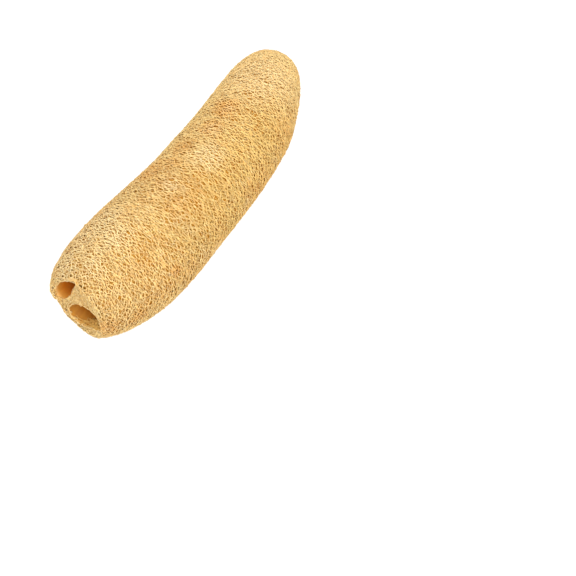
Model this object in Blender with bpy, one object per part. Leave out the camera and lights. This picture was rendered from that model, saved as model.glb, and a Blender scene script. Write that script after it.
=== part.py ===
"""Natural loofah sponge: one grown piece lying on its side, with its open end towards -X.

Metres, +Z up, origin under the middle of the bounding box at the level of the flat foot.
"""
import math
import random

import bpy
import numpy as np
from mathutils import Vector, noise

MM = 0.001
SEED = 29

# The body's form from the rim of the open end to the closed tip, in mm:
# middle x, middle y, half width, half height, lift of the underside, heading in degrees.
OUTLINE = (
    (-150.5, 14.1, 28.0, 25.0, 15.0, -10.0),
    (-149.0, 13.9, 31.0, 28.0, 12.5, -10.0),
    (-144.0, 12.5, 35.0, 31.3, 9.7, -10.0),
    (-130.0, 8.8, 40.8, 36.5, 5.0, -9.5),
    (-105.0, 4.3, 45.3, 40.5, 1.0, -8.0),
    (-68.0, -0.7, 46.3, 42.3, 0.0, -5.0),
    (-18.0, -4.2, 43.5, 41.0, 0.0, -1.0),
    (32.0, -4.5, 42.0, 39.0, 0.0, 3.0),
    (72.0, -1.5, 40.0, 36.5, 0.5, 7.0),
    (102.0, 4.3, 35.5, 33.0, 2.5, 11.0),
    (128.0, 11.3, 28.3, 27.0, 7.0, 14.0),
    (144.0, 15.8, 19.0, 18.0, 14.5, 15.0),
    (150.0, 17.3, 7.0, 6.5, 24.0, 15.0),
)
CENTRE = (-0.19, 0.86, 0.0)   # middle of the finished body in the outline's own terms
SINK = 0.8            # how far the round underside is pressed flat where it lies
LEAN = 0.25           # the open end's face leans back by this much for each unit of height
LEAN_END = -58.0      # the lean has died out here along x

# The raised net on the skin.
COLUMNS = 26          # cells round the body
ROWS = 56             # cells from the rim to the tip
ZIGZAG = 0.22         # how far each ring swings to make six-sided cells, in rows
JITTER = 0.13         # unevenness of the cells, in cells
PIT = 3.2             # depth of a cell's middle below its ridges
PIT_AT_RIM = 1.8
PIT_AT_TIP = 1.6
RIDGE_UNEVEN = 0.35   # unevenness of the ridges' height
LUMP = 0.9            # broad unevenness of the whole body
LUMP_LENGTH = 38.0

# The face of the open end between the two seed channels.
FACE_ROWS = 3
FACE_STEP = 0.24
FACE_SINK = 3.5
TIP_DENT = 1.5

# Seed channels, in mm: depth behind the open end's face, y, z, half of the narrow way,
# half of the long way, lean of the long way from upright in degrees.
CHANNEL_LEFT = (
    (-14.0, 28.4, 47.8, 11.5, 20.5, 32.0),
    (0.0, 28.1, 46.8, 6.7, 17.9, 32.0),
    (5.0, 27.7, 46.4, 7.1, 17.5, 30.0),
    (14.0, 26.8, 45.7, 7.9, 17.0, 26.0),
    (30.0, 24.9, 44.5, 9.2, 16.3, 18.0),
    (60.0, 21.3, 42.5, 11.0, 15.0, 5.0),
    (95.0, 18.3, 41.5, 10.0, 14.0, 0.0),
    (115.0, 17.3, 41.0, 6.5, 9.0, 0.0),
    (121.0, 17.0, 41.0, 2.4, 3.4, 0.0),
)
CHANNEL_RIGHT = (
    (-14.0, 5.6, 32.6, 12.5, 23.5, 65.0),
    (0.0, 5.6, 32.8, 9.0, 20.3, 65.0),
    (5.0, 4.4, 33.5, 9.3, 20.0, 62.0),
    (14.0, 2.0, 34.8, 9.9, 19.2, 56.0),
    (30.0, -3.6, 37.0, 11.4, 17.8, 42.0),
    (60.0, -11.7, 40.5, 13.5, 15.8, 14.0),
    (95.0, -15.7, 41.0, 12.5, 15.2, 2.0),
    (115.0, -16.7, 41.0, 8.5, 10.5, 0.0),
    (121.0, -16.7, 41.0, 2.8, 3.6, 0.0),
)
CHANNEL_SIDES = 18
CHANNEL_RINGS = 17
CHANNEL_RIB = 0.7     # height of the ribs along a channel's wall
SQUARE_START = 30.0   # depth from which a channel's oval turns into a rounded square,
SQUARE_END = 60.0     # and depth by which it has
SQUARE_POWER = 0.5    # power of sine and cosine there; 1 would be an oval

SKIN_COLOUR = (0.776, 0.491, 0.188, 1.0)
SKIN_ROUGHNESS = 0.85


def clear_scene():
    for item in list(bpy.data.objects):
        bpy.data.objects.remove(item, do_unlink=True)


def along(table, t, measured):
    """Smooth curve through the rows of a table; t runs from 0 to 1 by length."""
    rows = np.asarray(table, float)
    steps = np.linalg.norm(np.diff(rows[:, measured], axis=0), axis=1)
    place = np.concatenate([[0.0], np.cumsum(steps)]) / steps.sum()
    slope = np.empty_like(rows)
    slope[1:-1] = (rows[2:] - rows[:-2]) / (place[2:] - place[:-2])[:, None]
    slope[0] = (rows[1] - rows[0]) / (place[1] - place[0])
    slope[-1] = (rows[-1] - rows[-2]) / (place[-1] - place[-2])
    t = min(max(t, 0.0), 1.0)
    k = min(int(np.searchsorted(place, t, side="right")) - 1, len(rows) - 2)
    gap = place[k + 1] - place[k]
    f = (t - place[k]) / gap
    return ((2 * f**3 - 3 * f**2 + 1) * rows[k] + (f**3 - 2 * f**2 + f) * gap * slope[k]
            + (3 * f**2 - 2 * f**3) * rows[k + 1] + (f**3 - f**2) * gap * slope[k + 1])


def skin_point(t, angle):
    """Point of the smooth form in mm; t from the rim to the tip, angle round from +Y up."""
    x, y, width, height, lift, heading = along(OUTLINE, t, [0, 1, 2])
    turn = math.radians(heading)
    across = width * math.cos(angle)
    up = height * (1.0 + math.sin(angle))
    fade = min(max((LEAN_END - x) / (LEAN_END - OUTLINE[0][0]), 0.0), 1.0)
    return Vector((x - across * math.sin(turn) + LEAN * fade * up,
                   y + across * math.cos(turn), up + lift - SINK))


def skin_normal(t, angle):
    a = min(max(t, 0.004), 0.996)
    length = skin_point(a + 0.004, angle) - skin_point(a - 0.004, angle)
    round_it = skin_point(a, angle + 0.02) - skin_point(a, angle - 0.02)
    return round_it.cross(length).normalized()


def lumped(point, normal, amount):
    """The point moved in or out by the body's broad unevenness."""
    return point + normal * (amount * noise.noise(point / LUMP_LENGTH + Vector((5.0, 2.0, 7.0))))


def net_ring(rng, row):
    """Vertices of one ring of the net, two for each cell, in mm."""
    count = 2 * COLUMNS
    ring = []
    for k in range(count):
        swing = ZIGZAG if (k + row) % 2 == 0 else -ZIGZAG
        at_end = row in (0, ROWS)
        wander = 0.0 if at_end else JITTER * rng.uniform(-1.0, 1.0)
        t = (row + (0.0 if at_end else swing) + wander) / ROWS
        angle = 2.0 * math.pi * (k + 2.0 * JITTER * rng.uniform(-1.0, 1.0)) / count
        normal = skin_normal(t, angle)
        point = lumped(skin_point(t, angle), normal, LUMP)
        point += normal * (RIDGE_UNEVEN * rng.uniform(-1.0, 1.0))
        point.z = max(point.z, 0.0)
        ring.append(point)
    return ring


def pit_depth(row):
    from_rim = min(row / 3.0, 1.0)
    to_tip = min((ROWS - 1 - row) / 10.0, 1.0)
    return min(PIT_AT_RIM + (PIT - PIT_AT_RIM) * from_rim, PIT_AT_TIP + (PIT - PIT_AT_TIP) * to_tip)


def add_cell(verts, faces, corners, depth):
    """A six-sided cell: a pit between ridges, or a flat facet where it lies on the foot."""
    points = [verts[c] for c in corners]
    if max(p.z for p in points) < 0.02:
        faces.append(tuple(corners))
        return
    middle = sum(points, Vector()) / len(points)
    normal = Vector()
    for a, b in zip(points, points[1:] + points[:1]):
        normal += (a - middle).cross(b - middle)
    middle -= normal.normalized() * depth
    if min(p.z for p in points) < 0.02:
        middle.z = max(middle.z, 0.35)
    verts.append(middle)
    centre = len(verts) - 1
    for a, b in zip(corners, corners[1:] + corners[:1]):
        faces.append((a, b, centre))


def build_body():
    rng = random.Random(SEED)
    count = 2 * COLUMNS
    rim_x, rim_y, _, rim_height, rim_lift, rim_heading = OUTLINE[0]
    face_middle = Vector((rim_x + LEAN * rim_height, rim_y, rim_height + rim_lift - SINK))
    inwards = Vector((math.cos(math.radians(rim_heading)), math.sin(math.radians(rim_heading)), 0.0))

    rings = [net_ring(rng, row) for row in range(ROWS + 1)]
    face_rings = []
    for step in range(FACE_ROWS, 0, -1):
        ring = []
        for k in range(count):
            swing = ZIGZAG if (k - step) % 2 == 0 else -ZIGZAG
            scale = 1.0 - FACE_STEP * (step - swing)
            edge = skin_point(0.0, 2.0 * math.pi * k / count)
            sink = FACE_SINK * (1.0 - scale * scale) + 0.5 * rng.uniform(-1.0, 1.0)
            ring.append(face_middle + (edge - face_middle) * scale + inwards * sink)
        face_rings.append(ring)
    rings = face_rings + rings

    verts = [point for ring in rings for point in ring]
    faces = []
    for i in range(len(rings) - 1):
        row = i - FACE_ROWS
        depth = pit_depth(row) if row >= 0 else PIT_AT_RIM
        first = row % 2
        for j in range(COLUMNS):
            k = [(2 * j + first + s) % count for s in range(3)]
            low = [i * count + c for c in k]
            high = [(i + 1) * count + c for c in k]
            add_cell(verts, faces, low + high[::-1], depth * rng.uniform(0.7, 1.2))

    last = (len(rings) - 1) * count
    face_centre = sum(rings[0], Vector()) / count + inwards * 0.6
    tip_centre = sum(rings[-1], Vector()) / count - Vector((TIP_DENT, 0.0, 0.0))
    verts += [face_centre, tip_centre]
    for k in range(count):
        following = (k + 1) % count
        faces.append((following, k, len(verts) - 2))
        faces.append((last + k, last + following, len(verts) - 1))
    return make_object("loofah", verts, faces)


def rounded(value, power):
    """A sine or cosine bent so that an oval's corners fill out."""
    return math.copysign(abs(value) ** power, value)


def build_channel(name, table, salt):
    """Solid that fills one seed channel and reaches out through the open end's face."""
    rng = random.Random(SEED + salt)
    rim_x, rim_y, _, rim_height, rim_lift, rim_heading = OUTLINE[0]
    rim_z = rim_height + rim_lift - SINK
    slope = -math.tan(math.radians(rim_heading))
    verts, faces = [], []
    for i in range(CHANNEL_RINGS):
        t = i / (CHANNEL_RINGS - 1)
        depth, y, z, narrow, long, lean = along(table, t, [0, 1, 3])
        turn = math.radians(lean)
        inside = min(max(depth / 40.0, 0.0), 1.0)
        ribbed = min(inside * 4.0, 1.0) * min((1.0 - t) * 6.0, 1.0)
        squared = min(max((depth - SQUARE_START) / (SQUARE_END - SQUARE_START), 0.0), 1.0)
        power = 1.0 + (SQUARE_POWER - 1.0) * squared
        for k in range(CHANNEL_SIDES):
            angle = 2.0 * math.pi * (k + 0.25 * rng.uniform(-1.0, 1.0)) / CHANNEL_SIDES
            rib = CHANNEL_RIB * ribbed * (1.0 if k % 2 else -1.0)
            a = (narrow + rib) * rounded(math.cos(angle), power)
            b = (long + rib) * rounded(math.sin(angle), power)
            py = y + a * math.cos(turn) - b * math.sin(turn)
            pz = z + a * math.sin(turn) + b * math.cos(turn)
            face_x = rim_x + slope * (py - rim_y) + LEAN * (pz - rim_z + rim_height)
            middle_x = rim_x + slope * (y - rim_y) + LEAN * (z - rim_z + rim_height)
            verts.append(Vector((middle_x + (face_x - middle_x) * (1.0 - inside) + depth, py, pz)))
    for i in range(CHANNEL_RINGS - 1):
        for k in range(CHANNEL_SIDES):
            a, b = i * CHANNEL_SIDES + k, i * CHANNEL_SIDES + (k + 1) % CHANNEL_SIDES
            faces.append((a, b, b + CHANNEL_SIDES, a + CHANNEL_SIDES))
    faces.append(tuple(range(CHANNEL_SIDES - 1, -1, -1)))
    faces.append(tuple((CHANNEL_RINGS - 1) * CHANNEL_SIDES + k for k in range(CHANNEL_SIDES)))
    cutter = make_object(name, verts, faces)
    cutter.hide_render = True
    cutter.display_type = "WIRE"
    return cutter


def make_object(name, verts, faces):
    mesh = bpy.data.meshes.new(name)
    mesh.from_pydata([tuple((v - Vector(CENTRE)) * MM) for v in verts], [], faces)
    mesh.update()
    item = bpy.data.objects.new(name, mesh)
    bpy.context.scene.collection.objects.link(item)
    return item


def cut(body, cutter):
    step = body.modifiers.new(cutter.name, "BOOLEAN")
    step.operation = "DIFFERENCE"
    step.solver = "EXACT"
    step.object = cutter


def skin_material():
    material = bpy.data.materials.new("dried_loofah_fibre")
    material.use_nodes = True
    shader = material.node_tree.nodes["Principled BSDF"]
    shader.inputs["Base Color"].default_value = SKIN_COLOUR
    shader.inputs["Roughness"].default_value = SKIN_ROUGHNESS
    shader.inputs["Metallic"].default_value = 0.0
    material.diffuse_color = SKIN_COLOUR
    return material


def main():
    clear_scene()
    body = build_body()
    cut(body, build_channel("cut_channel_left", CHANNEL_LEFT, 1))
    cut(body, build_channel("cut_channel_right", CHANNEL_RIGHT, 2))
    body.data.materials.append(skin_material())
    for polygon in body.data.polygons:
        polygon.use_smooth = True


main()
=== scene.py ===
"""Looks of a natural loofah sponge: dried, straw-coloured fibre net round two seed channels.

The loofah's form is the one its solid has, in millimetres, and is scaled to metres as meshes are
made. Every fibre is laid on that form by its run, the distance along the skin from the rim of the
open end (below zero on the open end's face), and its angle round the body.
"""
import math
from collections import namedtuple

import bpy
import numpy as np
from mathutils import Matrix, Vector, noise


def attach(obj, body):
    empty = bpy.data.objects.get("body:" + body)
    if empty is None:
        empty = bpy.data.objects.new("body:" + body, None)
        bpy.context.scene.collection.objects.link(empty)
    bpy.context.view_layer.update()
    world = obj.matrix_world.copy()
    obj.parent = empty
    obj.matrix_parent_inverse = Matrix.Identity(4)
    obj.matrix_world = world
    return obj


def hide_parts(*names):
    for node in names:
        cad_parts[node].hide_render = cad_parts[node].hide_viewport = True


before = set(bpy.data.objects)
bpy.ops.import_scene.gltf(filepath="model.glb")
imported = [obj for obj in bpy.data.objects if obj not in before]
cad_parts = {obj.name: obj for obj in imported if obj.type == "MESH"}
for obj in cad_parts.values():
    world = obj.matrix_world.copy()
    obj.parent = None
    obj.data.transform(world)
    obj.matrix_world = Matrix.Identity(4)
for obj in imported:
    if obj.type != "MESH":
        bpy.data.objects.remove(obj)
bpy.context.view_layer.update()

MM = 0.001
BODY = "root"
NODE = "loofah"

# Body from the rim to the tip, in mm: middle x, middle y, half width, half height,
# lift of the underside, heading in degrees.
OUTLINE = np.array([
    (-150.5, 14.1, 28.0, 25.0, 15.0, -10.0),
    (-149.0, 13.9, 31.0, 28.0, 12.5, -10.0),
    (-144.0, 12.5, 35.0, 31.3, 9.7, -10.0),
    (-130.0, 8.8, 40.8, 36.5, 5.0, -9.5),
    (-105.0, 4.3, 45.3, 40.5, 1.0, -8.0),
    (-68.0, -0.7, 46.3, 42.3, 0.0, -5.0),
    (-18.0, -4.2, 43.5, 41.0, 0.0, -1.0),
    (32.0, -4.5, 42.0, 39.0, 0.0, 3.0),
    (72.0, -1.5, 40.0, 36.5, 0.5, 7.0),
    (102.0, 4.3, 35.5, 33.0, 2.5, 11.0),
    (128.0, 11.3, 28.3, 27.0, 7.0, 14.0),
    (144.0, 15.8, 19.0, 18.0, 14.5, 15.0),
    (150.0, 17.3, 7.0, 6.5, 24.0, 15.0),
])
CENTRE = np.array([-0.19, 0.86, 0.0])
SINK = 0.8
LEAN = 0.25
LEAN_END = -58.0
LUMP = 0.9
LUMP_LENGTH = 38.0
FACE_SINK = 3.5

# Seed channels, in mm: depth behind the face, y, z, half of the narrow way, half of the
# long way, lean of the long way from upright in degrees.
CHANNEL_LEFT = np.array([
    (-14.0, 28.4, 47.8, 11.5, 20.5, 32.0),
    (0.0, 28.1, 46.8, 6.7, 17.9, 32.0),
    (5.0, 27.7, 46.4, 7.1, 17.5, 30.0),
    (14.0, 26.8, 45.7, 7.9, 17.0, 26.0),
    (30.0, 24.9, 44.5, 9.2, 16.3, 18.0),
    (60.0, 21.3, 42.5, 11.0, 15.0, 5.0),
    (95.0, 18.3, 41.5, 10.0, 14.0, 0.0),
    (115.0, 17.3, 41.0, 6.5, 9.0, 0.0),
    (121.0, 17.0, 41.0, 2.4, 3.4, 0.0),
])
CHANNEL_RIGHT = np.array([
    (-14.0, 5.6, 32.6, 12.5, 23.5, 65.0),
    (0.0, 5.6, 32.8, 9.0, 20.3, 65.0),
    (5.0, 4.4, 33.5, 9.3, 20.0, 62.0),
    (14.0, 2.0, 34.8, 9.9, 19.2, 56.0),
    (30.0, -3.6, 37.0, 11.4, 17.8, 42.0),
    (60.0, -11.7, 40.5, 13.5, 15.8, 14.0),
    (95.0, -15.7, 41.0, 12.5, 15.2, 2.0),
    (115.0, -16.7, 41.0, 8.5, 10.5, 0.0),
    (121.0, -16.7, 41.0, 2.8, 3.6, 0.0),
])
STRAIGHTENED = 40.0       # depth by which a channel's rings have turned square to the body
SQUARE_START = 30.0       # depth from which a channel's oval turns into a rounded square,
SQUARE_END = 60.0         # and depth by which it has
SQUARE_POWER = 0.5        # power of sine and cosine there; 1 would be an oval

# Where a mouth is worn out of its oval: angle round it in degrees, half the width of the place,
# and how much wider the mouth is there, as a share.
WORN_LEFT = ((30.0, 25.0, -0.20), (85.0, 22.0, 0.26), (150.0, 28.0, -0.36), (222.0, 30.0, 0.20))
WORN_RIGHT = ((215.0, 40.0, 0.12), (45.0, 15.0, 0.06))
WORN_DEPTH = 7.0

Channel = namedtuple("Channel", "side table worn")
LEFT = Channel("left", CHANNEL_LEFT, WORN_LEFT)
RIGHT = Channel("right", CHANNEL_RIGHT, WORN_RIGHT)
CHANNELS = (LEFT, RIGHT)

RIM_X, RIM_Y, RIM_WIDTH, RIM_HEIGHT, RIM_LIFT, RIM_HEADING = OUTLINE[0]
RIM_Z = RIM_HEIGHT + RIM_LIFT - SINK
RIM_SLOPE = -math.tan(math.radians(RIM_HEADING))
INWARDS = np.array([math.cos(math.radians(RIM_HEADING)), math.sin(math.radians(RIM_HEADING)), 0.0])
FACE_MIDDLE = np.array([RIM_X + LEAN * RIM_HEIGHT, RIM_Y, RIM_Z])

STEPS = np.linalg.norm(np.diff(OUTLINE[:, :3], axis=0), axis=1)
PLACES = np.concatenate([[0.0], np.cumsum(STEPS)])
SKIN_LENGTH = PLACES[-1]
FACE_LENGTH = 0.5 * (RIM_WIDTH + RIM_HEIGHT)

# The tip's blunt end, with a shallow dent.
TIP_X, TIP_Y, TIP_WIDTH, TIP_HEIGHT, TIP_LIFT, TIP_HEADING = OUTLINE[-1]
TIP_MIDDLE = np.array([TIP_X, TIP_Y, TIP_HEIGHT + TIP_LIFT - SINK])
TIP_OUT = np.array([math.cos(math.radians(TIP_HEADING)), math.sin(math.radians(TIP_HEADING)), 0.0])
TIP_LENGTH = 0.5 * (TIP_WIDTH + TIP_HEIGHT)
TIP_DENT = 1.2

# Where the rim is drawn in or stands out: angle, half its width as an angle, depth in mm.
RIM_WAVES = ((math.radians(-43.0), 0.20, 1.4), (math.radians(-14.0), 0.28, -2.0),
             (math.radians(-88.0), 0.50, 2.2))
RIM_WAVE_LENGTH = 9.0

NORMAL_REACH = 1.5        # the skin's slope is read over this distance each way, in mm,
NORMAL_TURN = 0.02        # and over this angle
LUMP_SHIFT = (5.0, 2.0, 7.0)

FIBRE_FLOOR = 0.05        # the lowest that a fibre lies, in mm
UNEVEN_THICKNESS = 0.25   # spread of a fibre's thickness, as a share of it
THIN_SIDES = 3
PHASE = 6.3               # random waves start within this angle, about a whole turn
WRAP_DEPTH = 5.0          # fibres of the face bend down a channel's wall as far as this,
WRAP_SHOWN = 0.9          # and from here on run below its lining,
WRAP_SLOPE = 1.2          # sinking by this for each mm,
WRAP_SUNK = 3.0           # to this at most
MOUTH_FREE = 0.5          # share of a mouth's width with no fibre across it
LIP_REACH = 0.03          # how far the face's fibres reach over a mouth, as a share of its width,
LIP_RAGGED = 0.13         # and how uneven their edge is
LIP_RAGGED_LENGTH = 1.8


def outline_at(run):
    """Rows of the outline at distances along the skin, on a smooth curve."""
    slope = np.empty_like(OUTLINE)
    slope[1:-1] = (OUTLINE[2:] - OUTLINE[:-2]) / (PLACES[2:] - PLACES[:-2])[:, None]
    slope[0] = (OUTLINE[1] - OUTLINE[0]) / STEPS[0]
    slope[-1] = (OUTLINE[-1] - OUTLINE[-2]) / STEPS[-1]
    run = np.clip(run, 0.0, SKIN_LENGTH)
    k = np.clip(np.searchsorted(PLACES, run, side="right") - 1, 0, len(OUTLINE) - 2)
    gap = STEPS[k][..., None]
    f = (run - PLACES[k])[..., None] / gap
    return ((2 * f**3 - 3 * f**2 + 1) * OUTLINE[k] + (f**3 - 2 * f**2 + f) * gap * slope[k]
            + (3 * f**2 - 2 * f**3) * OUTLINE[k + 1] + (f**3 - f**2) * gap * slope[k + 1])


def smooth_skin(run, angle):
    x, y, width, height, lift, heading = np.moveaxis(outline_at(run), -1, 0)
    turn = np.radians(heading)
    across = width * np.cos(angle)
    up = height * (1.0 + np.sin(angle))
    fade = np.clip((LEAN_END - x) / (LEAN_END - RIM_X), 0.0, 1.0)
    return np.stack([x - across * np.sin(turn) + LEAN * fade * up,
                     y + across * np.cos(turn), up + lift - SINK], axis=-1)


def unit(vectors):
    return vectors / np.maximum(np.linalg.norm(vectors, axis=-1, keepdims=True), 1e-9)


def skin_normal(run, angle):
    a = np.clip(run, NORMAL_REACH, SKIN_LENGTH - NORMAL_REACH)
    length = smooth_skin(a + NORMAL_REACH, angle) - smooth_skin(a - NORMAL_REACH, angle)
    round_it = smooth_skin(a, angle + NORMAL_TURN) - smooth_skin(a, angle - NORMAL_TURN)
    return unit(np.cross(round_it, length))


def lumps(points, length):
    """Smooth unevenness from -1 to 1 over points in mm, with bumps of about the length given."""
    flat = points.reshape(-1, 3) / length + LUMP_SHIFT
    return np.array([noise.noise(Vector(p)) for p in flat]).reshape(points.shape[:-1])


def rim_wave(run, angle):
    """How far the skin is drawn in from the rim's plane, in mm."""
    drawn_in = 0.0
    for middle, half_angle, depth in RIM_WAVES:
        away = (angle - middle + math.pi) % (2.0 * math.pi) - math.pi
        drawn_in = drawn_in + depth * np.exp(-(away / half_angle)**2 - (run / RIM_WAVE_LENGTH)**2)
    return drawn_in


def skin(run, angle, height):
    """Points on the skin, at a height in mm above the form."""
    run, angle, height = np.broadcast_arrays(run, angle, height)
    points = smooth_skin(run, angle)
    rise = height + LUMP * lumps(points, LUMP_LENGTH)
    drawn_in = rim_wave(run, angle)
    return points + skin_normal(run, angle) * rise[..., None] + INWARDS * drawn_in[..., None]


def face_x(y, z):
    """X of the open end's leaning, dished face."""
    share = np.minimum(((y - RIM_Y) / RIM_WIDTH)**2 + ((z - RIM_Z) / RIM_HEIGHT)**2, 1.0)
    plane = RIM_X + RIM_SLOPE * (y - RIM_Y) + LEAN * (z - RIM_Z + RIM_HEIGHT)
    return plane + FACE_SINK * (1.0 - share)


def channel_at(channel, depth):
    table = channel.table
    return [np.interp(depth, table[:, 0], table[:, c]) for c in range(1, 6)]


def worn_size(channel, depth, angle):
    """Size of a channel as a share of its oval, which is 1 well behind the mouth."""
    more = 0.0
    for middle, half_width, share in channel.worn:
        away = (angle - math.radians(middle) + math.pi) % (2.0 * math.pi) - math.pi
        more = more + share * np.exp(-(away / math.radians(half_width))**2)
    return 1.0 + more * np.exp(-(np.maximum(depth, 0.0) / WORN_DEPTH)**2)


def channel_wall(channel, depth, angle, height):
    """Points on a seed channel's wall; height is in mm from the wall to the channel's middle."""
    y, z, narrow, long, lean = channel_at(channel, depth)
    turn = np.radians(lean)
    size = worn_size(channel, depth, angle)
    squared = np.clip((depth - SQUARE_START) / (SQUARE_END - SQUARE_START), 0.0, 1.0)
    power = 1.0 + (SQUARE_POWER - 1.0) * squared
    cosine, sine = np.cos(angle), np.sin(angle)
    a = (narrow * size - height) * np.sign(cosine) * np.abs(cosine)**power
    b = (long * size - height) * np.sign(sine) * np.abs(sine)**power
    py = y + a * np.cos(turn) - b * np.sin(turn)
    pz = z + a * np.sin(turn) + b * np.cos(turn)
    inside = np.clip(depth / STRAIGHTENED, 0.0, 1.0)
    middle = face_x(y, z)
    return np.stack([middle + (face_x(py, pz) - middle) * (1.0 - inside) + depth, py, pz], axis=-1)


def open_face(run, angle, height):
    """Points on the open end's face; what would cross a channel's mouth bends down its wall."""
    scale = np.clip(1.0 + run / FACE_LENGTH, 0.0, 1.0)
    edge = skin(np.zeros_like(run), angle, np.zeros_like(run))
    sink = FACE_SINK * (1.0 - scale**2) - height
    points = FACE_MIDDLE + (edge - FACE_MIDDLE) * scale[..., None] + sink[..., None] * INWARDS
    for channel in CHANNELS:
        y, z, narrow, long, lean = channel_at(channel, 0.0)
        turn = math.radians(lean)
        dy, dz = points[..., 1] - y, points[..., 2] - z
        a = (dy * math.cos(turn) + dz * math.sin(turn)) / narrow
        b = (dz * math.cos(turn) - dy * math.sin(turn)) / long
        around = np.arctan2(b, a)
        share = np.hypot(a, b) / worn_size(channel, 0.0, around)
        edge_share = 1.0 - LIP_REACH + LIP_RAGGED * lumps(np.nan_to_num(points), LIP_RAGGED_LENGTH)
        down = (edge_share - share) * WRAP_DEPTH
        below = WRAP_SLOPE * np.maximum(down - WRAP_SHOWN, 0.0)
        wall = channel_wall(channel, down, around, height - np.minimum(below, WRAP_SUNK))
        wall[share < MOUTH_FREE] = np.nan
        points = np.where((share < edge_share)[..., None], wall, points)
    return points


def closed_tip(run, angle, height):
    """Points on the blunt end beyond the skin's last ring."""
    scale = np.clip(1.0 - (run - SKIN_LENGTH) / TIP_LENGTH, 0.0, 1.0)
    edge = skin(np.full_like(run, SKIN_LENGTH), angle, np.zeros_like(run))
    rise = height - TIP_DENT * (1.0 - scale**2)
    return TIP_MIDDLE + (edge - TIP_MIDDLE) * scale[..., None] + rise[..., None] * TIP_OUT


def laid(run, angle, height):
    """Points of a fibre, wherever on the loofah it runs."""
    run, angle, height = np.broadcast_arrays(run, angle, height)
    points = np.where((run < 0.0)[..., None], open_face(run, angle, height), skin(run, angle, height))
    return np.where((run > SKIN_LENGTH)[..., None], closed_tip(run, angle, height), points)


def fibre_tubes(paths, radii, sides, closed=False):
    """Vertices and faces of round fibres along paths (fibre, point, xyz), all in mm."""
    count, length = paths.shape[:2]
    if closed:
        tangents = unit(np.roll(paths, -1, axis=1) - np.roll(paths, 1, axis=1))
    else:
        tangents = unit(np.gradient(paths, axis=1))
    tangents = np.nan_to_num(tangents)
    side = np.empty_like(paths)
    start = np.where(np.abs(tangents[:, 0, :1]) > 0.8, (0.0, 0.6, 0.8), (1.0, 0.0, 0.0))
    for k in range(length):
        start = unit(start - (start * tangents[:, k]).sum(-1, keepdims=True) * tangents[:, k])
        side[:, k] = start
    other = np.cross(tangents, side)
    turn = 2.0 * np.pi * np.arange(sides) / sides
    ring = side[:, :, None] * np.cos(turn)[:, None] + other[:, :, None] * np.sin(turn)[:, None]
    verts = (paths[:, :, None] + ring * radii[:, :, None, None]).reshape(-1, 3)
    index = np.arange(count * length * sides).reshape(count, length, sides)
    low = index if closed else index[:, :-1]
    high = np.roll(index, -1, axis=1) if closed else index[:, 1:]
    walls = np.stack([low, np.roll(low, -1, axis=2), np.roll(high, -1, axis=2), high], axis=-1)
    faces = [walls.reshape(-1, 4)]
    if not closed:
        faces += [index[:, 0, ::-1], index[:, -1]]
    return verts, faces


def joined(parts):
    """One set of vertices and faces from several."""
    verts, faces, shift = [], [], 0
    for some_verts, some_faces in parts:
        verts.append(some_verts)
        faces += [group + shift for group in some_faces]
        shift += len(some_verts)
    return np.concatenate(verts), faces


def make_piece(name, verts, faces, material):
    """A mesh object from vertices in mm and groups of faces, each group with its own corner count.

    Faces on a vertex that is not a number are left out.
    """
    there = ~np.isnan(verts).any(axis=1)
    place = np.cumsum(there) - 1
    verts, faces = verts[there], [place[group[there[group].all(axis=1)]] for group in faces]
    verts[:, 2] = np.maximum(verts[:, 2], FIBRE_FLOOR)
    corners = np.concatenate([group.ravel() for group in faces])
    sizes = np.concatenate([np.full(len(group), group.shape[1]) for group in faces])
    mesh = bpy.data.meshes.new(name)
    mesh.vertices.add(len(verts))
    mesh.vertices.foreach_set("co", ((verts - CENTRE) * MM).ravel())
    mesh.loops.add(len(corners))
    mesh.loops.foreach_set("vertex_index", corners)
    mesh.polygons.add(len(sizes))
    mesh.polygons.foreach_set("loop_start", np.concatenate([[0], np.cumsum(sizes)[:-1]]))
    mesh.update(calc_edges=True)
    mesh.validate()
    piece = bpy.data.objects.new(name, mesh)
    bpy.context.scene.collection.objects.link(piece)
    finish_piece(piece, material)
    return piece


def finish_piece(piece, material):
    piece.data.polygons.foreach_set("use_smooth", np.ones(len(piece.data.polygons), bool))
    piece.data.materials.clear()
    piece.data.materials.append(material)
    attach(piece, BODY)
    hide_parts(NODE)


def closed_curve(values, between):
    """Points of a smooth closed curve through each row's values."""
    before, after = np.roll(values, 1, axis=1), np.roll(values, -1, axis=1)
    beyond = np.roll(values, -2, axis=1)
    out = []
    for f in np.arange(between) / between:
        out.append(0.5 * (2 * values + (after - before) * f
                          + (2 * before - 5 * values + 4 * after - beyond) * f**2
                          + (3 * values - before - 3 * after + beyond) * f**3))
    return np.stack(out, axis=2).reshape(values.shape[0], -1)


# The raised outer net: hoops round the body, joined by links into eye-shaped meshes.
NET_PITCH = 1.95          # distance between hoops
NET_COLUMNS = 50          # meshes round the body
NET_SWING = 0.30          # how far a hoop swings to its neighbours, in pitches
NET_WANDER = 0.30         # unevenness along the body, in pitches
NET_SLIDE = 0.34          # unevenness round the body, in half meshes
NET_HEIGHT = -0.55
NET_RISE = 0.28           # unevenness in height
NET_DRIFT = 3.0           # the hoops' slow drift along the body
NET_DRIFT_LENGTH = 30.0
HOOP_RADIUS = 0.42
LINK_RADIUS = 0.38
HOOP_POINTS = 2           # points laid on each side of a mesh
LINK_POINTS = 3
NET_SIDES = 4
NET_SEED = 7
NET_DRIFT_START = 12.0    # distance from the rim over which the drift sets in
HOOP_RADII = (0.2, 0.7)   # the thinnest and the thickest
LINK_RADII = (0.18, 0.7)
LINK_BOW = 0.35           # how far a link bows sideways, in half meshes
LINK_RISE = 0.2           # and outwards or inwards
LINK_ROOT = 1.1           # a link's thickness at its ends, as a share of its radius,
LINK_WAIST = 0.25         # and how much less it has at its middle
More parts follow.
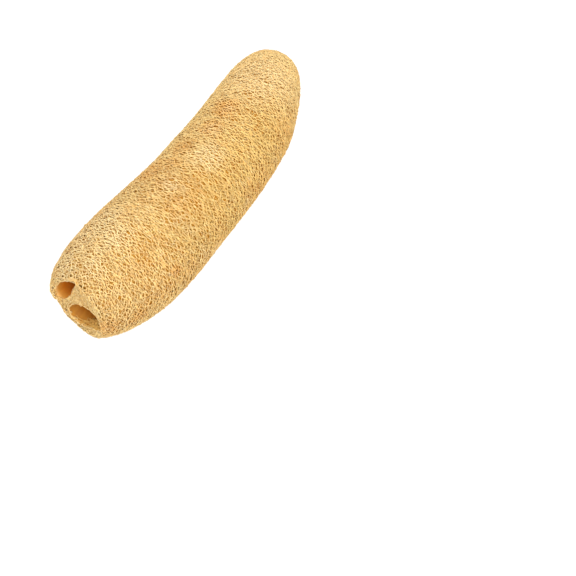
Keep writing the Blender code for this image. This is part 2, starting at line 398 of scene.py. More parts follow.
NET_PARTS = (("skin_net_open_end", -60.0, 70.0), ("skin_net_middle", 70.0, 150.0),
             ("skin_net_far_middle", 150.0, 230.0), ("skin_net_tip", 230.0, 400.0))


def drift(run, angle):
    return NET_DRIFT * lumps(smooth_skin(run, angle), NET_DRIFT_LENGTH)


def skin_net(material):
    rng = np.random.default_rng(NET_SEED)
    first_row = -int(FACE_LENGTH / NET_PITCH)
    row = np.arange(first_row, int((SKIN_LENGTH + TIP_LENGTH) / NET_PITCH))[:, None]
    column = np.arange(2 * NET_COLUMNS)[None, :]
    shape = (len(row), 2 * NET_COLUMNS)
    swing = np.where((row + column) % 2 == 0, NET_SWING, -NET_SWING)
    run = (row + swing + NET_WANDER * rng.normal(size=shape)) * NET_PITCH
    fade = np.clip(run / NET_DRIFT_START, 0.0, 1.0)
    run = run + fade * drift(run, column * math.pi / NET_COLUMNS + np.zeros(shape))
    slide = NET_SLIDE * rng.normal(size=shape)
    height = NET_HEIGHT + NET_RISE * rng.normal(size=shape)
    thick = HOOP_RADIUS * (1.0 + UNEVEN_THICKNESS * rng.normal(size=shape))
    hoop_thick = np.clip(closed_curve(thick, HOOP_POINTS), *HOOP_RADII)
    place = np.arange(2 * NET_COLUMNS * HOOP_POINTS)[None, :] / HOOP_POINTS
    hoop_angle = (place + closed_curve(slide, HOOP_POINTS)) * math.pi / NET_COLUMNS
    hoops = laid(closed_curve(run, HOOP_POINTS), hoop_angle, closed_curve(height, HOOP_POINTS))

    low_row, low_column = np.nonzero((row[:-1] + column) % 2 == 0)
    f = np.linspace(0.0, 1.0, LINK_POINTS)[None, :]
    bow = np.sin(math.pi * f)
    uneven = rng.normal(size=(3, len(low_row), 1))

    def between(values):
        low, high = values[low_row, low_column], values[low_row + 1, low_column]
        return low[:, None] * (1.0 - f) + high[:, None] * f

    sideways = low_column[:, None] + between(slide) + LINK_BOW * bow * uneven[0]
    links = laid(between(run), sideways * math.pi / NET_COLUMNS,
                 between(height) + LINK_RISE * bow * uneven[1])
    waisted = LINK_RADIUS * (LINK_ROOT - LINK_WAIST * bow)
    link_thick = np.clip(waisted * (1.0 + UNEVEN_THICKNESS * uneven[2]), *LINK_RADII)

    middles = row[:, 0] * NET_PITCH
    for name, first, last in NET_PARTS:
        mine = (middles >= first) & (middles < last)
        mine_links = mine[low_row]
        verts, faces = joined([
            fibre_tubes(hoops[mine], hoop_thick[mine], NET_SIDES, closed=True),
            fibre_tubes(links[mine_links], link_thick[mine_links], NET_SIDES)])
        make_piece(name, verts, faces, material)


# Lengthwise and slanting strands that show between the meshes of the outer net.
UNDER_DEPTH = 1.5
UNDER_RADIUS = 0.5
UNDER_COUNT = 52
UNDER_POINTS = 84
UNDER_SLOPE = 0.55        # turn round the body over its whole length
UNDER_SEED = 17
UNDER_LAYERS = ((1.0, 0.0), (-1.0, 0.4))    # which way a layer turns, and how much deeper it lies
UNDER_START = -6.0        # the strands start on the open end's face
UNDER_LENGTH = SKIN_LENGTH + 5.0
UNDER_SPACING = 0.3       # unevenness of the space between them
UNDER_WAVE = 0.03         # how far a strand sways, as an angle round the body,
UNDER_WAVES = 40.0        # and how often, as an angle over its length
UNDER_WANDER = 0.022
UNDER_RISE = 0.2
UNDER_RADII = (0.25, 0.9)


def under_strands(material):
    rng = np.random.default_rng(UNDER_SEED)
    shape = (UNDER_COUNT, UNDER_POINTS)
    f = np.linspace(0.0, 1.0, UNDER_POINTS)[None, :]
    run = UNDER_START + f * UNDER_LENGTH + np.zeros((UNDER_COUNT, 1))
    parts = []
    for direction, deeper in UNDER_LAYERS:
        place = np.arange(UNDER_COUNT) + UNDER_SPACING * rng.normal(size=UNDER_COUNT)
        start = place * 2.0 * math.pi / UNDER_COUNT
        waves = UNDER_WAVE * np.sin(UNDER_WAVES * f + rng.uniform(0.0, PHASE, (UNDER_COUNT, 1)))
        wander = UNDER_WANDER * rng.normal(size=shape)
        angle = start[:, None] + direction * UNDER_SLOPE * f + waves + wander
        height = -UNDER_DEPTH - deeper + UNDER_RISE * rng.normal(size=shape)
        thick = UNDER_RADIUS * (1.0 + UNEVEN_THICKNESS * rng.normal(size=shape))
        parts.append(fibre_tubes(laid(run, angle, height), np.clip(thick, *UNDER_RADII), THIN_SIDES))
    verts, faces = joined(parts)
    make_piece("under_strands", verts, faces, material)


# Thin loose fibres lying round the body over the outer net.
FINE_COUNT = 8400
FINE_POINTS = 7
FINE_RADIUS = 0.27
FINE_HEIGHT = -0.2
FINE_LENGTHS = (7.0, 24.0)
FINE_STEER = 17.0         # spread of their direction from round the body, in degrees
FINE_SEED = 27
FINE_FIRST = -FACE_LENGTH * 0.8             # where the middles of the first and last ones lie
FINE_LAST = SKIN_LENGTH + 4.0
FINE_CROWDING = 0.85      # below 1 lays more of them towards the tip
FINE_BEND = 1.8           # spread of how far a fibre's ends bend aside,
FINE_WOBBLE = 0.35        # and of each of its points
FINE_RISE = 0.2
FINE_ENDS_SINK = 2.2      # four times how far the ends dip into the net
FINE_RADIUS_SHARES = (0.6, 1.3)
FINE_THICK = 1.1          # thickness at a fibre's middle, as a share of its radius,
FINE_TAPER = 3.0          # and four times how much less its ends have
FINE_TIGHTEST = 12.0      # least half width of the body that a fibre is curved for
FINE_SPLIT = 0.45         # where the two pieces part, as a share of the skin's length


def fine_fibres(material):
    rng = np.random.default_rng(FINE_SEED)
    n = FINE_COUNT
    f = np.linspace(-0.5, 0.5, FINE_POINTS)[None, :]
    length = rng.uniform(*FINE_LENGTHS, (n, 1))
    steer = np.radians(rng.normal(0.0, FINE_STEER, (n, 1)))
    bend = 4.0 * f**2 * rng.normal(0.0, FINE_BEND, (n, 1)) + rng.normal(0.0, FINE_WOBBLE, (n, FINE_POINTS))
    middle = FINE_FIRST + (FINE_LAST - FINE_FIRST) * rng.uniform(0.0, 1.0, (n, 1))**FINE_CROWDING
    run = middle + length * f * np.sin(steer) + bend
    reach = np.maximum(outline_at(np.maximum(run, 0.0))[..., 2], FINE_TIGHTEST)
    angle = rng.uniform(0.0, 2.0 * math.pi, (n, 1)) + length * f * np.cos(steer) / reach
    height = FINE_HEIGHT + rng.normal(0.0, FINE_RISE, (n, FINE_POINTS)) - FINE_ENDS_SINK * f**2
    thick = FINE_RADIUS * rng.uniform(*FINE_RADIUS_SHARES, (n, 1)) * (FINE_THICK - FINE_TAPER * f**2)
    paths = laid(np.minimum(run, SKIN_LENGTH + TIP_LENGTH), angle, height)
    nearer = middle[:, 0] < FINE_SPLIT * SKIN_LENGTH
    for name, mine in (("fine_fibres_open_half", nearer), ("fine_fibres_tip_half", ~nearer)):
        verts, faces = fibre_tubes(paths[mine], thick[mine], THIN_SIDES)
        make_piece(name, verts, faces, material)


# The matted fibre below the net, with the seed channels cut in it.
BED_DEPTH = 2.4
BED_VOXEL = 1.5
BED_ROWS, BED_COLUMNS = 110, 72
BED_FLOOR = 0.4
BED_BEHIND_FACE = 1.5
CHANNEL_ROWS, CHANNEL_COLUMNS = 40, 40
CHANNEL_GROWTH = 0.8      # the bed's channels are wider by this, to hold their lining
BED_FACE_SCALES = (0.04, 0.25, 0.5, 0.75)   # sizes of the rings behind the open end's face
BED_END = 1.5             # how far the skin's first and last rings lie from its ends
BED_SQUEEZE = (3.0, 1.0, 1.0)               # makes the ridges narrow along the body
BED_RIDGE, BED_RIDGE_LENGTH = 0.7, 5.0      # height and length of the ridges, and of the grain
BED_GRAIN, BED_GRAIN_LENGTH = 0.35, 1.6


def plain_object(name, verts, faces):
    mesh = bpy.data.meshes.new(name)
    mesh.from_pydata((verts * MM).tolist(), [], faces)
    item = bpy.data.objects.new(name, mesh)
    bpy.context.scene.collection.objects.link(item)
    return item


def tube_faces(rows, columns):
    """Faces of a closed tube given as rings of vertices, with both ends capped."""
    faces = []
    for i in range(rows - 1):
        for k in range(columns):
            a, b = i * columns + k, i * columns + (k + 1) % columns
            faces.append((a, b, b + columns, a + columns))
    faces.append(tuple(range(columns - 1, -1, -1)))
    faces.append(tuple((rows - 1) * columns + k for k in range(columns)))
    return faces


def fibre_bed(material):
    angle = np.arange(BED_COLUMNS) * 2.0 * math.pi / BED_COLUMNS
    edge = skin(np.zeros(BED_COLUMNS), angle, -BED_DEPTH)
    rings = []
    for scale in BED_FACE_SCALES:
        behind = FACE_SINK * (1.0 - scale**2) + BED_BEHIND_FACE
        rings.append(FACE_MIDDLE + (edge - FACE_MIDDLE) * scale + INWARDS * behind)
    rings += [skin(np.full(BED_COLUMNS, run), angle, -BED_DEPTH)
              for run in np.linspace(BED_END, SKIN_LENGTH - BED_END, BED_ROWS)]
    verts = np.concatenate(rings)
    verts[:, 2] = np.maximum(verts[:, 2], BED_FLOOR)
    bed = plain_object("fibre_bed", verts, tube_faces(len(rings), BED_COLUMNS))
    cutters = []
    for channel in CHANNELS:
        depth = np.linspace(channel.table[0, 0], channel.table[-1, 0], CHANNEL_ROWS)[:, None]
        around = (np.arange(CHANNEL_COLUMNS) * 2.0 * math.pi / CHANNEL_COLUMNS)[None, :]
        depth, around = np.broadcast_arrays(depth, around)
        wall = channel_wall(channel, depth, around, -CHANNEL_GROWTH).reshape(-1, 3)
        cutter = plain_object("channel_" + channel.side, wall, tube_faces(CHANNEL_ROWS, CHANNEL_COLUMNS))
        step = bed.modifiers.new("open_" + channel.side, "BOOLEAN")
        step.operation, step.solver, step.object = "DIFFERENCE", "EXACT", cutter
        cutters.append(cutter)
    remesh = bed.modifiers.new("even_mesh", "REMESH")
    remesh.mode = "VOXEL"
    remesh.voxel_size = BED_VOXEL * MM
    ready = bpy.data.meshes.new_from_object(bed.evaluated_get(bpy.context.evaluated_depsgraph_get()))
    bed.modifiers.clear()
    bed.data = ready
    ready.name = "fibre_bed"
    for cutter in cutters:
        bpy.data.objects.remove(cutter, do_unlink=True)

    count = len(ready.vertices)
    points, normals = np.empty(count * 3), np.empty(count * 3)
    ready.vertices.foreach_get("co", points)
    ready.vertices.foreach_get("normal", normals)
    points, normals = points.reshape(-1, 3) / MM, normals.reshape(-1, 3)
    relief = BED_RIDGE * lumps(points * BED_SQUEEZE, BED_RIDGE_LENGTH)
    relief = relief + BED_GRAIN * lumps(points, BED_GRAIN_LENGTH)
    points = points + normals * relief[:, None]
    points[:, 2] = np.maximum(points[:, 2], BED_FLOOR)
    ready.vertices.foreach_set("co", ((points - CENTRE) * MM).ravel())
    ready.update()
    finish_piece(bed, material)


# The smooth skin inside each seed channel, a thin shell from behind the lip to the blind end.
LINING_ROWS, LINING_COLUMNS = 64, 64
LINING_START = 0.3
LINING_THICKNESS = 0.8
LINING_RISE = 0.6         # how far below the wall the lining starts, under the lip's fibres
LINING_RISE_DEPTH = 1.5
LINING_FOLDS = 0.5        # height of the lengthwise folds
LINING_FOLD_LENGTH = 3.6
LINING_STRETCH = (0.12, 1.0, 1.0)           # makes the folds long along the body
LINING_SWELL, LINING_SWELL_LENGTH = 0.35, 9.0
LINING_SMOOTH = 6.0       # the folds grow to their height over this depth
LINING_CROWDING = 1.25    # above 1 sets the rings closer together towards the lip
LINING_STOP = 1.0         # how far before the channel's blind end the lining's last ring lies


def channel_lining(channel, material):
    f = np.linspace(0.0, 1.0, LINING_ROWS)[:, None] ** LINING_CROWDING
    depth = LINING_START + f * (channel.table[-1, 0] - LINING_START - LINING_STOP)
    around = (np.arange(LINING_COLUMNS) * 2.0 * math.pi / LINING_COLUMNS)[None, :]
    depth, around = np.broadcast_arrays(depth, around)
    wall = channel_wall(channel, depth, around, 0.0)
    folds = LINING_FOLDS * lumps(wall * LINING_STRETCH, LINING_FOLD_LENGTH)
    folds = folds + LINING_SWELL * lumps(wall, LINING_SWELL_LENGTH)
    sunk = LINING_RISE * np.clip(1.0 - (depth - LINING_START) / LINING_RISE_DEPTH, 0.0, 1.0)**2
    inner = channel_wall(channel, depth, around, folds * np.clip(depth / LINING_SMOOTH, 0.0, 1.0) - sunk)
    outer = channel_wall(channel, depth, around, -sunk - LINING_THICKNESS)
    rings = np.concatenate([inner[::-1], outer])
    faces = tube_faces(2 * LINING_ROWS, LINING_COLUMNS)
    lining = plain_object("channel_lining_" + channel.side, (rings - CENTRE).reshape(-1, 3), faces)
    finish_piece(lining, material)


# Fibres on the walls of the seed channels, and a tangle at the larger mouth.
CHANNEL_SEED = 37
CHANNEL_FIBRE_SIDES = 4
CHANNEL_RADIUS_SHARES = (0.7, 1.3)
WALL_FIBRES = 26
WALL_POINTS = 30
WALL_RADIUS = 0.22
WALL_STARTS = (14.0, 30.0)                  # depths at which they start,
WALL_LENGTHS = (20.0, 80.0)
WALL_END = 114.0                            # and past which none runs
WALL_TURN = 0.5           # spread of their turn round the channel
WALL_WANDER = 0.02
WALL_HEIGHT = 0.15
WALL_RISE = 0.2
TANGLE_COUNT = 80
TANGLE_POINTS = 10
TANGLE_RADIUS = 0.34
TANGLE_ANGLE = 2.75       # where round the mouth the tangle is, and its spread
TANGLE_SPREAD = 0.3
TANGLE_DEPTHS = (1.5, 8.0)
TANGLE_SLANT = 3.0        # how far a fibre slants down the channel,
TANGLE_TURN = 0.8         # and turns round it
TANGLE_WAVE, TANGLE_WAVES = 1.3, 8.0        # waves down the channel: size, and angle over its length
TANGLE_SWAY, TANGLE_SWAYS = 0.07, 9.0       # and round it
TANGLE_HEIGHT = -0.3
TANGLE_ARCH = 2.2         # how high a fibre's middle stands over the wall,
TANGLE_ARCH_SHARES = (0.2, 1.0)
TANGLE_REACH = (0.3, 30.0)


def channel_fibres(material):
    rng = np.random.default_rng(CHANNEL_SEED)
    parts = []
    f = np.linspace(0.0, 1.0, WALL_POINTS)[None, :]
    n = WALL_FIBRES
    for channel in CHANNELS:
        depth = rng.uniform(*WALL_STARTS, (n, 1)) + f * rng.uniform(*WALL_LENGTHS, (n, 1))
        angle = rng.uniform(0.0, 2.0 * math.pi, (n, 1)) + f * rng.normal(0.0, WALL_TURN, (n, 1))
        angle = angle + WALL_WANDER * rng.normal(size=(n, WALL_POINTS))
        height = WALL_HEIGHT + WALL_RISE * rng.normal(size=(n, WALL_POINTS))
        thick = WALL_RADIUS * rng.uniform(*CHANNEL_RADIUS_SHARES, (n, 1)) * np.ones_like(f)
        paths = channel_wall(channel, np.minimum(depth, WALL_END), angle, height)
        parts.append(fibre_tubes(paths, thick, CHANNEL_FIBRE_SIDES))
    n = TANGLE_COUNT
    f = np.linspace(0.0, 1.0, TANGLE_POINTS)[None, :]
    depth = rng.uniform(*TANGLE_DEPTHS, (n, 1)) + TANGLE_SLANT * (f - 0.5) * rng.normal(size=(n, 1))
    depth = depth + TANGLE_WAVE * np.sin(TANGLE_WAVES * f + rng.uniform(0.0, PHASE, (n, 1)))
    angle = rng.normal(TANGLE_ANGLE, TANGLE_SPREAD, (n, 1))
    angle = angle + TANGLE_TURN * (f - 0.5) * rng.normal(size=(n, 1))
    angle = angle + TANGLE_SWAY * np.sin(TANGLE_SWAYS * f + rng.uniform(0.0, PHASE, (n, 1)))
    arch = TANGLE_ARCH * np.sin(math.pi * f) * rng.uniform(*TANGLE_ARCH_SHARES, (n, 1))
    thick = TANGLE_RADIUS * rng.uniform(*CHANNEL_RADIUS_SHARES, (n, 1)) * np.ones_like(f)
    paths = channel_wall(RIGHT, np.clip(depth, *TANGLE_REACH), angle, TANGLE_HEIGHT + arch)
    parts.append(fibre_tubes(paths, thick, CHANNEL_FIBRE_SIDES))
    verts, faces = joined(parts)
    make_piece("channel_fibres", verts, faces, material)


# Places in metres where the skin's colour differs, with each patch's radius and strength.
PALE_PATCHES = (((0.008, -0.010, 0.079), 0.021, 0.55), ((-0.032, -0.002, 0.082), 0.012, 0.55),
                ((-0.093, 0.008, 0.081), 0.020, 0.6), ((-0.121, 0.009, 0.074), 0.016, 0.6),
                ((-0.085, 0.024, 0.077), 0.024, 0.55), ((-0.104, 0.030, 0.071), 0.022, 0.6),
                ((-0.126, 0.031, 0.064), 0.022, 0.65), ((0.104, 0.004, 0.066), 0.050, 0.5))
TAN_PATCHES = (((0.059, 0.007, 0.073), 0.017, 0.75), ((0.035, 0.006, 0.076), 0.015, 0.6),
               ((0.007, 0.014, 0.075), 0.015, 0.45), ((-0.012, 0.010, 0.078), 0.014, 0.5),
               ((-0.024, 0.025, 0.071), 0.020, 0.6), ((0.105, 0.004, 0.066), 0.045, 0.35),
               ((-0.044, -0.018, 0.081), 0.016, 0.35), ((-0.083, -0.041, 0.059), 0.009, 0.8),
               ((-0.122, -0.033, 0.043), 0.010, 0.8), ((-0.144, -0.018, 0.040), 0.016, 0.7))
DARK_MARKS = (((-0.116, 0.037, 0.063), 0.0045, 0.9), ((-0.083, -0.042, 0.058), 0.003, 0.8),
              ((-0.122, -0.034, 0.042), 0.003, 0.8))
PATCH_CORE = 0.2          # share of a patch's radius within which it has its full strength
STREAK_AXIS = (0.0, 0.002, 0.039)     # the streaks run round this point's lengthwise axis
STREAK_ALONG = 5.0        # how fast their pattern changes along the body,
STREAK_ROUND = 0.04       # and round it
GOLD_START = (-0.135, -0.055)         # the deeper yellow goes from none to full along the body here,
GOLD_END = (0.125, 0.07)              # here from the tip's side,
GOLD_SIDE = (0.006, -0.028)           # and here across it

# Noise over the skin: scale, where its mask starts and where it is full, and detail.
BROAD_NOISE = (22.0, 0.42, 0.66, 2.0)
STREAK_NOISE = (110.0, 0.38, 0.70, 3.0)
SMALL_NOISE = (620.0, 0.38, 0.66, 1.0)
PALE_NOISE = (34.0, 0.60, 0.74, 2.0)
GLINT_NOISE = (210.0, 0.54, 0.70, 1.0)
STRAY_NOISE = (75.0, 0.70, 0.78, 2.0)

# How strongly each shows.
BROAD_SHARE, STREAK_SHARE, GOLD_SHARE = 0.35, 0.45, 0.85
PALE_SHARE, GLINT_SHARE, STRAY_SHARE = 0.4, 0.35, 0.3
PALE_LEAST, MARK_LEAST = 0.4, 0.3     # what a pale place and a mark keep between the small noise

# Specks on the half nearer the open end, painted highlights (Pale) and painted shade in the pores (Dark):
# noise, tone and strength.
SPECKS = (((900.0, 0.55, 0.67, 1.0), "Dark", 0.65), ((760.0, 0.55, 0.67, 1.0), "Pale", 0.6))
SPECK_SPAN = (0.0, -0.09)               # where along the body they start and are at their full


def add_node(tree, kind, **values):
    node = tree.nodes.new(kind)
    for key, value in values.items():
        setattr(node, key, value)
    return node


def number_step(tree, operation, first, second):
    node = add_node(tree, "ShaderNodeMath", operation=operation)
    for socket, value in zip(node.inputs, (first, second)):
        if isinstance(value, (int, float)):
            socket.default_value = value
        else:
            tree.links.new(value, socket)
    return node.outputs[0]


def mix_colours(tree, share, first, second):
    node = add_node(tree, "ShaderNodeMix", data_type="RGBA")
    for socket, value in ((node.inputs[0], share), (node.inputs[6], first), (node.inputs[7], second)):
        if isinstance(value, (int, float, tuple)):
            socket.default_value = value
        else:
            tree.links.new(value, socket)
    return node.outputs[2]


def spread(tree, value, low, high):
    """0 below low and 1 above high, or the other way round, with a soft step between."""
    node = add_node(tree, "ShaderNodeMapRange", interpolation_type="SMOOTHSTEP")
    node.inputs["From Min"].default_value = low
    node.inputs["From Max"].default_value = high
    tree.links.new(value, node.inputs["Value"])
    return node.outputs["Result"]


def noise_mask(tree, place, scale, low, high, detail):
    texture = add_node(tree, "ShaderNodeTexNoise")
    texture.inputs["Scale"].default_value = scale
    texture.inputs["Detail"].default_value = detail
    tree.links.new(place, texture.inputs["Vector"])
    return spread(tree, texture.outputs["Fac"], low, high)


def patch_mask(tree, place, patches):
    """A patch's strength at its middle, fading to 0 at its radius."""
    whole = None
    for middle, radius, strength in patches:
        away = add_node(tree, "ShaderNodeVectorMath", operation="DISTANCE")
        away.inputs[1].default_value = middle
        tree.links.new(place, away.inputs[0])
        inside = spread(tree, away.outputs["Value"], radius, PATCH_CORE * radius)
        near = number_step(tree, "MULTIPLY", inside, strength)
        whole = near if whole is None else number_step(tree, "MAXIMUM", whole, near)
    return whole


def hoop_coordinates(tree, place):
    """Coordinates that change fast along the body and slowly round it."""
    parts = tree.nodes.new("ShaderNodeSeparateXYZ")
    tree.links.new(place, parts.inputs[0])
    x, y, z = parts.outputs
    y = number_step(tree, "SUBTRACT", y, STREAK_AXIS[1])
    z = number_step(tree, "SUBTRACT", z, STREAK_AXIS[2])
    turn = number_step(tree, "ARCTAN2", z, y)
    out = tree.nodes.new("ShaderNodeCombineXYZ")
    tree.links.new(number_step(tree, "MULTIPLY", x, STREAK_ALONG), out.inputs[0])
    for operation, socket in (("COSINE", out.inputs[1]), ("SINE", out.inputs[2])):
        share = number_step(tree, operation, turn, 0.0)
        tree.links.new(number_step(tree, "MULTIPLY", share, STREAK_ROUND), socket)
    return out.outputs[0]


TONES = ("Straw", "Gold", "Tan", "Pale", "Dark")


def along_body(tree, place, low, high):
    """0 to 1 between two places along the body, in metres."""
    parts = tree.nodes.new("ShaderNodeSeparateXYZ")
    tree.links.new(place, parts.inputs[0])
    return spread(tree, parts.outputs[0], low, high)


def gold_mask(tree, place):
    """Where the flank on the -Y side is a deeper yellow, away from both ends."""
    parts = tree.nodes.new("ShaderNodeSeparateXYZ")
    tree.links.new(place, parts.inputs[0])
    x, y, _ = parts.outputs
    along = number_step(tree, "MULTIPLY", spread(tree, x, *GOLD_START), spread(tree, x, *GOLD_END))
    return number_step(tree, "MULTIPLY", along, spread(tree, y, *GOLD_SIDE))


def skin_tone_group():
    """Colour of dried loofah fibre over the body: patches, marks and streaks round the body, and towards
    the open end specks of painted highlight and painted pore shade.
    """
    tree = bpy.data.node_groups.new("loofah_tone", "ShaderNodeTree")
    for name in TONES:
        tree.interface.new_socket(name, in_out="INPUT", socket_type="NodeSocketColor")
    tree.interface.new_socket("Colour", in_out="OUTPUT", socket_type="NodeSocketColor")
    tree.interface.new_socket("Unevenness", in_out="OUTPUT", socket_type="NodeSocketFloat")
    given = tree.nodes.new("NodeGroupInput")
    result = tree.nodes.new("NodeGroupOutput")
    place = tree.nodes.new("ShaderNodeTexCoord").outputs["Object"]
    hoops = hoop_coordinates(tree, place)

    broad = noise_mask(tree, place, *BROAD_NOISE)
    streaks = noise_mask(tree, hoops, *STREAK_NOISE)
    small = noise_mask(tree, place, *SMALL_NOISE)
    tan = number_step(tree, "MAXIMUM", number_step(tree, "MULTIPLY", broad, BROAD_SHARE),
                      patch_mask(tree, place, TAN_PATCHES))
    tan = number_step(tree, "ADD", tan, number_step(tree, "MULTIPLY", streaks, STREAK_SHARE))
    tan = number_step(tree, "MINIMUM", tan, 1.0)
    gold = number_step(tree, "MULTIPLY", gold_mask(tree, place), GOLD_SHARE)
    colour = mix_colours(tree, gold, given.outputs["Straw"], given.outputs["Gold"])
    colour = mix_colours(tree, tan, colour, given.outputs["Tan"])
    pale_spots = noise_mask(tree, place, *PALE_NOISE)
    pale = number_step(tree, "MAXIMUM", number_step(tree, "MULTIPLY", pale_spots, PALE_SHARE),
                       patch_mask(tree, place, PALE_PATCHES))
    pale = number_step(tree, "MULTIPLY", pale, number_step(tree, "ADD", small, PALE_LEAST))
    glints = noise_mask(tree, hoops, *GLINT_NOISE)
    pale = number_step(tree, "MAXIMUM", pale, number_step(tree, "MULTIPLY", glints, GLINT_SHARE))
    pale = number_step(tree, "MINIMUM", pale, 1.0)
    colour = mix_colours(tree, pale, colour, given.outputs["Pale"])
    marks = number_step(tree, "MULTIPLY", patch_mask(tree, place, DARK_MARKS),
                        number_step(tree, "ADD", small, MARK_LEAST))
    stray = number_step(tree, "MULTIPLY", noise_mask(tree, place, *STRAY_NOISE), STRAY_SHARE)
    dark = number_step(tree, "MINIMUM", number_step(tree, "MAXIMUM", marks, stray), 1.0)
    colour = mix_colours(tree, dark, colour, given.outputs["Dark"])
    # Painted highlight and painted pore shade: specks that grow stronger towards the open end.
    speck_span = along_body(tree, place, *SPECK_SPAN)
    for speck_noise, tone, strength in SPECKS:
        specks = noise_mask(tree, place, *speck_noise)
        share = number_step(tree, "MULTIPLY", number_step(tree, "MULTIPLY", specks, strength), speck_span)
        colour = mix_colours(tree, share, colour, given.outputs[tone])
    tree.links.new(colour, result.inputs["Colour"])
    tree.links.new(small, result.inputs["Unevenness"])
    return tree


FIBRE_GRAIN = (2600.0, 0.35)          # scale and strength
LINING_GRAIN = (1500.0, 0.3)
GRAIN_DETAIL = 3.0
GRAIN_HEIGHT = 0.0002
ROUGHNESS_SPREAD = 0.1


def add_grain(tree, shader, scale, strength):
    """Fine bumps over a fibre's surface."""
    place = tree.nodes.new("ShaderNodeTexCoord")
    grain = add_node(tree, "ShaderNodeTexNoise")
    grain.inputs["Scale"].default_value = scale
    grain.inputs["Detail"].default_value = GRAIN_DETAIL
    tree.links.new(place.outputs["Object"], grain.inputs["Vector"])
    bump = tree.nodes.new("ShaderNodeBump")
    bump.inputs["Strength"].default_value = strength
    bump.inputs["Distance"].default_value = GRAIN_HEIGHT
    tree.links.new(grain.outputs["Fac"], bump.inputs["Height"])
    tree.links.new(bump.outputs["Normal"], shader.inputs["Normal"])


def fibre_material(name, tones, colours, roughness, specular):
    material = bpy.data.materials.new(name)
    material.use_nodes = True
    tree = material.node_tree
    shader = tree.nodes["Principled BSDF"]
    tone = add_node(tree, "ShaderNodeGroup", node_tree=tones)
    for socket, colour in zip(TONES, colours):
        tone.inputs[socket].default_value = colour + (1.0,)
    tree.links.new(tone.outputs["Colour"], shader.inputs["Base Color"])
    rough = add_node(tree, "ShaderNodeMapRange")
    rough.inputs["To Min"].default_value = roughness - ROUGHNESS_SPREAD
    rough.inputs["To Max"].default_value = roughness + ROUGHNESS_SPREAD
    tree.links.new(tone.outputs["Unevenness"], rough.inputs["Value"])
    tree.links.new(rough.outputs["Result"], shader.inputs["Roughness"])
    add_grain(tree, shader, *FIBRE_GRAIN)
    shader.inputs["Specular IOR Level"].default_value = specular
    return material


# The channel skin's pale lip, from which its painted shade darkens further in.
LIP_COLOUR = (0.82, 0.56, 0.23, 1.0)
STREAK_COLOUR = (0.80, 0.40, 0.07, 1.0)
LIP_START = -0.1570
LINING_STREAKS = (320.0, 0.35, 0.7, 3.0)    # as the skin's noise
LINING_STREAK_STRETCH = (0.15, 1.0, 1.0)
LINING_STREAK_SHARE = 0.2
LINING_ROUGHNESS = (-1.2, 1.4)              # the streaks, from 0 to 1, are read as a share of this
LINING_SPECULAR = 0.1


def lining_material(name, wall_colour, deep_shade_colour, lip_end, deep_shade_start, deep_shade_end):
    """Smooth channel skin in its own orange-brown, with painted shade: pale at the lip and darker further
    in, with soft lengthwise streaks.

    The lip's end and the darker painted shade's start and end are places behind the open end's plane.
    """
    material = bpy.data.materials.new(name)
    material.use_nodes = True
    tree = material.node_tree
    shader = tree.nodes["Principled BSDF"]
    place = tree.nodes.new("ShaderNodeTexCoord").outputs["Object"]
    parts = tree.nodes.new("ShaderNodeSeparateXYZ")
    tree.links.new(place, parts.inputs[0])
    leaning = number_step(tree, "MULTIPLY", parts.outputs[2], LEAN)
    sloping = number_step(tree, "MULTIPLY", parts.outputs[1], RIM_SLOPE)
    behind = number_step(tree, "SUBTRACT", parts.outputs[0], number_step(tree, "ADD", leaning, sloping))
    # Painted shade: from the pale lip to darker tones deeper in the channel.
    near = spread(tree, behind, LIP_START, lip_end)
    deep = spread(tree, behind, deep_shade_start, deep_shade_end)
    colour = mix_colours(tree, near, LIP_COLOUR, wall_colour)
    colour = mix_colours(tree, deep, colour, deep_shade_colour)
    stretched = add_node(tree, "ShaderNodeMapping")
    stretched.inputs["Scale"].default_value = LINING_STREAK_STRETCH
    tree.links.new(place, stretched.inputs["Vector"])
    streaks = noise_mask(tree, stretched.outputs[0], *LINING_STREAKS)
    streak_share = number_step(tree, "MULTIPLY", streaks, LINING_STREAK_SHARE)
    colour = mix_colours(tree, streak_share, colour, STREAK_COLOUR)
    tree.links.new(colour, shader.inputs["Base Color"])
    tree.links.new(spread(tree, streaks, *LINING_ROUGHNESS), shader.inputs["Roughness"])
    add_grain(tree, shader, *LINING_GRAIN)
    shader.inputs["Specular IOR Level"].default_value = LINING_SPECULAR
    return material


WHITE = (1.0, 1.0, 1.0, 1.0)
FLOOR_HALF = 6.0
FLOOR_COLOUR = (0.25, 0.25, 0.25, 1.0)
FLOOR_ROUGHNESS = 0.95
FLOOR_GLOW = (0.5, 0.85)      # towards the loofah, and as it is seen
CAMERA_PLACE = (-0.4645, -0.3897, 0.9885)
CAMERA_DOWN = 62.0            # degrees below level
CAMERA_BEARING = 32.71        # degrees from +X towards +Y
CAMERA_LENS = 85.0
CAMERA_SENSOR = 36.0
WORLD_LIGHT = 0.95
LIGHT_AIM = (0.0, 0.0, 0.03)

# Name, place in metres, size and power of each lamp.
LIGHTS = (("key", (-0.05, 0.05, 1.25), 0.9, 8.0), ("fill", (-0.65, -0.95, 0.8), 1.1, 10.0))


def floor_material():
    material = bpy.data.materials.new("white_floor")
    material.use_nodes = True
    tree = material.node_tree
    shader = tree.nodes["Principled BSDF"]
    shader.inputs["Base Color"].default_value = FLOOR_COLOUR
    shader.inputs["Roughness"].default_value = FLOOR_ROUGHNESS
    shader.inputs["Emission Color"].default_value = WHITE
    ray = tree.nodes.new("ShaderNodeLightPath")
    glow = tree.nodes.new("ShaderNodeMapRange")
    glow.inputs["To Min"].default_value, glow.inputs["To Max"].default_value = FLOOR_GLOW
    tree.links.new(ray.outputs["Is Camera Ray"], glow.inputs["Value"])
    tree.links.new(glow.outputs["Result"], shader.inputs["Emission Strength"])
    return material


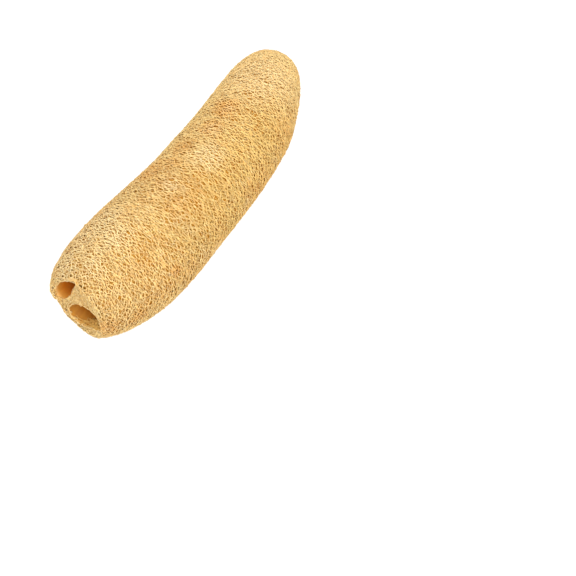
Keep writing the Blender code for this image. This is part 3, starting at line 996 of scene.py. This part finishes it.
def make_floor():
    mesh = bpy.data.meshes.new("floor")
    corners = [(FLOOR_HALF * x, FLOOR_HALF * y, 0.0) for x, y in ((-1, -1), (1, -1), (1, 1), (-1, 1))]
    mesh.from_pydata(corners, [], [(0, 1, 2, 3)])
    floor = bpy.data.objects.new("floor", mesh)
    floor.data.materials.append(floor_material())
    bpy.context.scene.collection.objects.link(floor)


def make_lights():
    world = bpy.data.worlds.new("studio")
    world.use_nodes = True
    world.node_tree.nodes["Background"].inputs["Color"].default_value = WHITE
    world.node_tree.nodes["Background"].inputs["Strength"].default_value = WORLD_LIGHT
    bpy.context.scene.world = world
    bpy.context.scene.view_settings.view_transform = "Standard"

    for name, place, size, power in LIGHTS:
        data = bpy.data.lights.new(name, "AREA")
        data.energy = power
        data.size = size
        light = bpy.data.objects.new(name, data)
        light.location = place
        aim = Vector(LIGHT_AIM) - Vector(place)
        light.rotation_euler = aim.to_track_quat("-Z", "Y").to_euler()
        bpy.context.scene.collection.objects.link(light)


def make_camera():
    data = bpy.data.cameras.new("camera")
    data.lens = CAMERA_LENS
    data.sensor_width = CAMERA_SENSOR
    camera = bpy.data.objects.new("camera", data)
    camera.location = CAMERA_PLACE
    camera.rotation_euler = (math.radians(90.0 - CAMERA_DOWN), 0.0, math.radians(CAMERA_BEARING - 90.0))
    bpy.context.scene.collection.objects.link(camera)
    bpy.context.scene.camera = camera


# Each fibre's colours in the order of TONES, from the pale net outside to the matted bed below it; the
# deeper layers' darker tones are partly their own colour and partly painted shade in the pores.
STRAW_COLOURS = ((0.82, 0.59, 0.24), (0.76, 0.52, 0.172), (0.77, 0.43, 0.125),
                 (0.90, 0.74, 0.42), (0.50, 0.24, 0.07))
UNDER_COLOURS = ((0.76, 0.46, 0.12), (0.72, 0.42, 0.10), (0.66, 0.33, 0.07),
                 (0.78, 0.52, 0.18), (0.40, 0.17, 0.03))
MATTED_COLOURS = ((0.64, 0.32, 0.05), (0.62, 0.30, 0.045), (0.55, 0.24, 0.03),
                  (0.66, 0.36, 0.07), (0.38, 0.15, 0.02))

# Each channel's wall and deep colours, painted shade that darkens it from the pale lip inwards, and where
# its lip ends and its deep colour starts and is full.
LEFT_SKIN_SHADED = ((0.62, 0.27, 0.042, 1.0), (0.66, 0.21, 0.012, 1.0), -0.1505, -0.152, -0.145)
RIGHT_SKIN_SHADED = ((0.43, 0.17, 0.022, 1.0), (0.46, 0.15, 0.010, 1.0), -0.1530, -0.151, -0.141)


def main():
    make_floor()
    make_lights()
    make_camera()
    tones = skin_tone_group()
    net = fibre_material("straw_fibre", tones, STRAW_COLOURS, roughness=0.6, specular=0.15)
    under = fibre_material("under_fibre", tones, UNDER_COLOURS, roughness=0.65, specular=0.05)
    bed = fibre_material("matted_fibre", tones, MATTED_COLOURS, roughness=0.75, specular=0.0)
    linings = (lining_material("left_channel_skin_shaded", *LEFT_SKIN_SHADED),
               lining_material("right_channel_skin_shaded", *RIGHT_SKIN_SHADED))
    fibre_bed(bed)
    under_strands(under)
    skin_net(net)
    fine_fibres(net)
    for channel, lining in zip(CHANNELS, linings):
        channel_lining(channel, lining)
    channel_fibres(under)


main()
